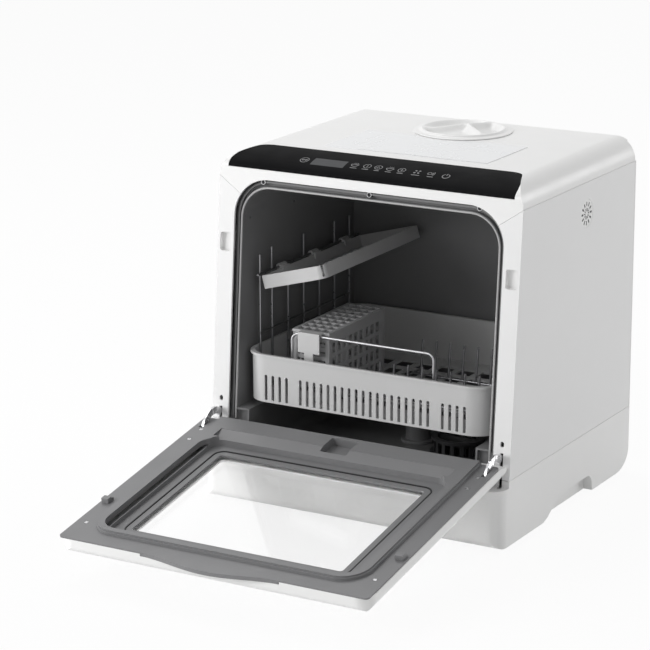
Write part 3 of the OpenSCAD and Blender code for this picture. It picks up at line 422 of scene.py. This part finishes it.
def panel_marks():
    """Plain printed signs of the touch keys: programs, drying, airing and power."""
    m = Mesh()
    y = MARK_Y
    ring(m, *START, 5.6)
    for dx in (-2.1, 2.1):
        ring(m, START[0] + dx, START[1], 1.3, 0.9)
    for i, x in enumerate(KEY_X):
        if i in (0, 3):     # bowl with steam
            ring(m, x, y + 0.6, 4.8, 0.9, 180, 360)
            stroke(m, [(x - 5.2, y + 0.8), (x + 5.2, y + 0.8)], 0.9)
            for dx in (-2.4, 0, 2.4):
                stroke(m, [(x + dx, y + 2.4), (x + dx + 0.5, y + 3.6), (x + dx, y + 4.8)], 0.7)
        else:
            ring(m, x, y, 4.8)
            if i == 1:
                stroke(m, [(x, y - 2.6), (x, y + 2.6)], 0.9)
            elif i == 2:
                stroke(m, [(x - 2.2, y - 1.6), (x, y + 2.2), (x + 2.2, y - 1.6), (x - 2.2, y - 1.6)], 0.8)
            else:
                stroke(m, [(x - 2.4, y), (x + 2.4, y)], 0.8)
                stroke(m, [(x, y - 2.4), (x, y + 2.4)], 0.8)
    for a in range(4):      # drying
        c, s = math.cos(math.radians(45 + 90 * a)), math.sin(math.radians(45 + 90 * a))
        stroke(m, [(DRY_X + 1.6 * c, y + 1.6 * s), (DRY_X + 5 * c, y + 5 * s)], 0.9)
        ring(m, DRY_X + 3.8 * s, y - 3.8 * c, 1.0, 0.7)
    ring(m, AIR_X, y - 0.4, 2.6, 0.8)
    for r in (4.4, 6.4):    # airing
        ring(m, AIR_X, y - 0.4, r, 0.8, -38, 38)
    ring(m, *POWER, 4.6, 0.95, 118, 422)
    stroke(m, [(POWER[0], POWER[1] + 1.4), (POWER[0], POWER[1] + 6.2)], 0.95)
    for x, w in CAPTIONS:
        stroke(m, [(x - w / 2, CAPTION_Y), (x + w / 2, CAPTION_Y)], 1.0)
    m.piece("panel_marks", "panel_print", "cabinet")


panel_marks()

# ------------------------------------------------------------------ top film and cap


FILM_X, FILM_Y = 118.6, 137.4       # right and front edges of the film
FILM_Z = TOP_H + 0.36


def film_edge():
    """Thin grey border along the front and right edges of the film, round its corner."""
    m = Mesh()
    side_half, front_half, corner_r = 0.45, 0.35, 3.1
    right, front = FILM_X - corner_r, FILM_Y + corner_r
    m.grid([[at(FILM_X - side_half, y, FILM_Z), at(FILM_X + side_half, y, FILM_Z)]
            for y in (140.0, 170.0, 210.0, 249.5)])
    m.grid([[at(x, FILM_Y - front_half, FILM_Z), at(x, FILM_Y + front_half, FILM_Z)]
            for x in (-60.0, 0.0, 60.0, 100.0, right)])
    m.grid([[at(right + (x - right) * 0.86, front + (y - front) * 0.86, FILM_Z), at(x, y, FILM_Z)]
            for x, y in arc_points(right, front, corner_r, -90, 0, 6)])
    m.piece("film_edge", "film_edge", "cabinet")


film_edge()

CAP_DISH = 53.0
RIDGES = (      # plan of the three crests, from where they meet to the dish's rim
    ((2, 11), (-5, 8.5), (-14, 0.6), (-30, -12.5), (-49, -20.5)),
    ((2, 11), (12, 1.5), (22, -7.2), (33.6, -17.8), (42.6, -31.7)),
    ((2, 11), (5, 20), (9, 33), (16, 50.6)),
)


def smooth_line(points, steps=10):
    """A Catmull-Rom curve through points."""
    p = [np.array(q, float) for q in points]
    p = [2 * p[0] - p[1]] + p + [2 * p[-1] - p[-2]]
    out = []
    for i in range(1, len(p) - 2):
        for k in range(steps):
            t = k / steps
            out.append(0.5 * (2 * p[i] + (p[i + 1] - p[i - 1]) * t
                              + (2 * p[i - 1] - 5 * p[i] + 4 * p[i + 1] - p[i + 2]) * t * t
                              + (3 * p[i] - p[i - 1] - 3 * p[i + 1] + p[i + 2]) * t ** 3))
    out.append(p[-2])
    return np.array(out)


HUB = (2, 11)       # where the crests meet
HUB_Z, DISH_Z, SCOOP = 454.6, 451.3, 8.6        # heights of the hub and the dish's rim, depth of a scoop
CAP_SIDES = 180
CAP_RINGS = ([1.2, 3, 5, 7, 9] + [11 + 2 * i for i in range(17)]
             + [44.4, 46, 47.4, 48.6, 49.6, 50.5, 51.3, 52, 52.6, CAP_DISH])
CAP_PROFILE = (     # radius and height of the flange, round its edge and under it to the plug
    (53.6, 451.3), (54.3, 451.0), (54.9, 450.4), (55.5, 449.6), (57, 448.9), (60, 448.55), (62.6, 448.35),
    (63.5, 448.1), (64, 447.6), (64, 447.15), (63.6, 446.8), (49.4, 446.8), (49.4, 444.6), (40, 444.5),
    (40, 439.0), (39.5, 438.5),
)


def dish_height(x, y, crests):
    """Height of the cap's dish: a crest's own height on it, falling to a scoop away from it."""
    away = math.sqrt(((crests - (x, y)) ** 2).sum(1).min())
    from_hub = math.hypot(x - HUB[0], y - HUB[1])
    crest = DISH_Z + (HUB_Z - DISH_Z) * max(0.0, 1 - from_hub / 46) ** 1.2
    off_crest = 1 - math.exp(-(away / 6.5) ** 1.7)
    off_rim = 1 - math.exp(-(max(0.0, CAP_DISH - math.hypot(x, y)) / 7.0) ** 1.8)
    return crest - SCOOP * off_crest * off_rim


def tank_cap():
    """The cap: a dish cut by three curved crests into finger scoops, on a thin round flange."""
    crests = np.concatenate([smooth_line(r) for r in RIDGES])
    rows = [[at(x, CAP_Y + y, dish_height(x, y, crests)) for x, y in circle(r, CAP_SIDES)] for r in CAP_RINGS]
    rows += [[at(x, CAP_Y + y, z) for x, y in circle(r, CAP_SIDES)] for r, z in CAP_PROFILE]
    m = Mesh()
    m.grid(rows, close_cols=True)
    m.fan(rows[0])
    m.fan(rows[-1][::-1])
    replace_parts(m.piece("tank_cap_swirl", "white_shell", "cap", 40), "tank_cap")


tank_cap()

# ------------------------------------------------------------------ opening of the tub


BEAD_D, BEAD_R = 6.3, 1.35       # depth behind the front, radius


def tub_rim():
    """Bright bead round the front edge of the tub."""
    bead = Mesh()
    bead.tube([on_front(x, BEAD_D, z / math.cos(FRONT_TILT)) for x, z in arch_path(179.2, 108, 404.7, 40.2)],
              BEAD_R * MM, 8)
    bead.piece("tub_rim_bead", "rim_grey", "cabinet")


tub_rim()

SCREW_V = 412.7      # up along the front
SCREW_RING = (2.9, 0.55)        # radii of the ring and of its wire


def screw_rings():
    """A bright ring round each of the three screws over the opening."""
    m = Mesh()
    ring_r, wire_r = SCREW_RING
    for x in (-150, 0, 150):
        m.tube([on_front(x + dx, BEAD_D, SCREW_V + dv) for dx, dv in circle(ring_r, 24)], wire_r * MM, 6,
               closed=True)
    m.piece("screw_rings", "steel", "cabinet")


screw_rings()

VENT = (231, 376)       # y and z of its middle


def vent_shade_disc():
    """Black disc set into the slots of the side vent: painted shade of the hollow seen through them."""
    inner, outer, radius = 208.9, 209.4, 15.6
    rows = [[at(x, VENT[0] + dy, VENT[1] + dz) for dy, dz in circle(radius, 40)] for x in (inner, outer)]
    m = Mesh()
    m.grid(rows, close_cols=True)
    for row in rows:
        m.fan(row)
    # black plastic stands in for the shade behind the slots, not for a part of the machine
    m.piece("vent_shade_disc", "black_plastic", "cabinet", 30)


vent_shade_disc()

# ------------------------------------------------------------------ floor, light, camera


FLOOR_REACH = 6.0
FLOOR_GLOW = 0.93       # share of the floor's own white where the camera sees it; the rest takes shadows


def add_stage():
    """A white floor that keeps the machine's shadow."""
    mesh = bpy.data.meshes.new("floor")
    r = FLOOR_REACH
    mesh.from_pydata([(-r, -r, 0), (r, -r, 0), (r, r, 0), (-r, r, 0)], [], [(0, 1, 2, 3)])
    floor = bpy.data.objects.new("floor", mesh)
    bpy.context.scene.collection.objects.link(floor)
    mat = bpy.data.materials.new("floor")
    mat.use_nodes = True
    tree = mat.node_tree
    bsdf = tree.nodes["Principled BSDF"]
    bsdf.inputs["Base Color"].default_value = (0.9, 0.9, 0.9, 1)
    bsdf.inputs["Roughness"].default_value = 0.9
    emission = tree.nodes.new("ShaderNodeEmission")
    emission.inputs["Color"].default_value = (1, 1, 1, 1)
    emission.inputs["Strength"].default_value = 1.0
    mix = tree.nodes.new("ShaderNodeMixShader")
    fac = tree.nodes.new("ShaderNodeMath")
    fac.operation = "MULTIPLY"
    fac.inputs[1].default_value = FLOOR_GLOW
    tree.links.new(seen_ray(tree), fac.inputs[0])
    tree.links.new(fac.outputs[0], mix.inputs[0])
    tree.links.new(bsdf.outputs[0], mix.inputs[1])
    tree.links.new(emission.outputs[0], mix.inputs[2])
    tree.links.new(mix.outputs[0], tree.nodes["Material Output"].inputs["Surface"])
    mesh.materials.append(mat)


def seen_ray(tree):
    """1 for rays from the camera, and for the reflected and refracted ones."""
    path = tree.nodes.new("ShaderNodeLightPath")
    total = path.outputs["Is Camera Ray"]
    for other in ("Is Glossy Ray", "Is Transmission Ray"):
        add = tree.nodes.new("ShaderNodeMath")
        add.operation = "MAXIMUM"
        tree.links.new(total, add.inputs[0])
        tree.links.new(path.outputs[other], add.inputs[1])
        total = add.outputs[0]
    return total


def add_world(strength):
    """White all round: at full strength where it's seen, at strength as light."""
    world = bpy.data.worlds.new("studio")
    bpy.context.scene.world = world
    world.use_nodes = True
    tree = world.node_tree
    background = tree.nodes["Background"]
    background.inputs["Color"].default_value = (1, 1, 1, 1)
    level = tree.nodes.new("ShaderNodeMapRange")
    level.inputs["To Min"].default_value = strength
    level.inputs["To Max"].default_value = 1.0
    tree.links.new(seen_ray(tree), level.inputs["Value"])
    tree.links.new(level.outputs["Result"], background.inputs["Strength"])


def add_area(name, place, target, size, watts):
    light = bpy.data.lights.new(name, "AREA")
    light.shape = "DISK"
    light.size = size
    light.energy = watts
    obj = bpy.data.objects.new(name, light)
    obj.location = place
    obj.rotation_euler = (Vector(target) - Vector(place)).to_track_quat("-Z", "Y").to_euler()
    bpy.context.scene.collection.objects.link(obj)


AZIMUTH, ELEVATION, ROLL = 29.99, 15.37, -0.19      # degrees
TARGET = (-0.02536, -0.037735, 0.25925)
DISTANCE = 3.25695
LENS = 148.79


def add_camera():
    azimuth, elevation, roll = (math.radians(a) for a in (AZIMUTH, ELEVATION, ROLL))
    back = Vector((math.sin(azimuth) * math.cos(elevation), -math.cos(azimuth) * math.cos(elevation),
                   math.sin(elevation)))
    right = Vector((0, 0, 1)).cross(back).normalized()
    up = back.cross(right)
    right, up = math.cos(roll) * right + math.sin(roll) * up, math.cos(roll) * up - math.sin(roll) * right
    data = bpy.data.cameras.new("camera")
    data.sensor_width = 36
    data.lens = LENS
    data.clip_end = 50
    camera = bpy.data.objects.new("camera", data)
    bpy.context.scene.collection.objects.link(camera)
    turn = Matrix((right, up, back)).transposed().to_4x4()
    camera.matrix_world = Matrix.Translation(Vector(TARGET) + DISTANCE * back) @ turn
    bpy.context.scene.camera = camera


add_stage()
add_world(0.45)
add_area("key", (-2.0, -2.5, 1.5), (0, 0, 0.25), 1.8, 50)
add_area("low", (-2.4, -1.0, 0.14), (0, 0, 0.05), 0.5, 24)
add_area("top", (-1.2, 0.9, 2.6), (0, 0, 0.4), 1.6, 22)
add_area("side", (3.0, 4.0, 1.4), (0, 0, 0.25), 2.0, 48)
add_camera()

scene = bpy.context.scene
scene.view_settings.view_transform = "Standard"
